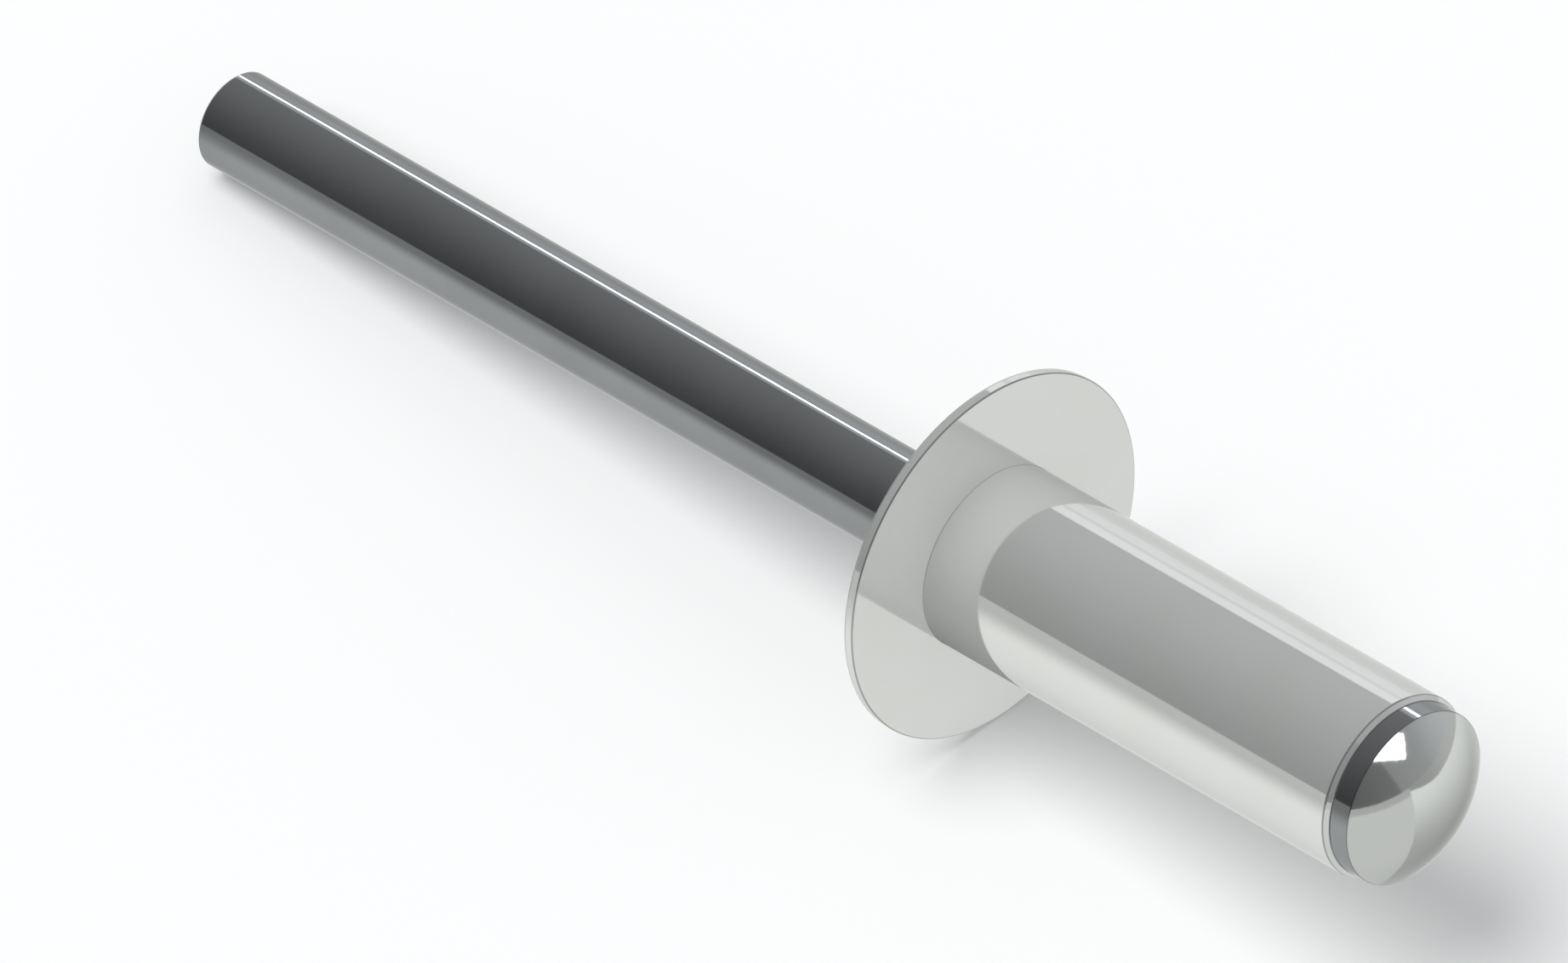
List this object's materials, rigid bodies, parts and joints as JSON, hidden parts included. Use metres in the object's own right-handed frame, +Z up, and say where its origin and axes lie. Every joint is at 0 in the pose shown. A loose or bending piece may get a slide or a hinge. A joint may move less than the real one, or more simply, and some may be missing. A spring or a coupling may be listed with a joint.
{
  "type": "blind rivet",
  "caption": "Open-end blind rivet, unset: a wide thin flange with a low crown and a tubular shank, on a long pulling mandrel whose domed head closes the blind end.",
  "frame": {"origin": "on the surface that the rivet lies on, under the middle of its length", "axes": "+X along the surface from the mandrel's cut end to the blind end, +Z up; the rivet's own axis rises from -X to +X by 7.86 degrees, because it lies on the flange's rim and on the cut end"},
  "size_m": [0.0422, 0.01, 0.0099],
  "materials": {
    "rivet_body": "bright polished",
    "mandrel": "polished, drawn"
  },
  "bodies": {
    "root": {"rivet_body": "rivet_body", "mandrel": "mandrel"}
  },
  "joints": []
}
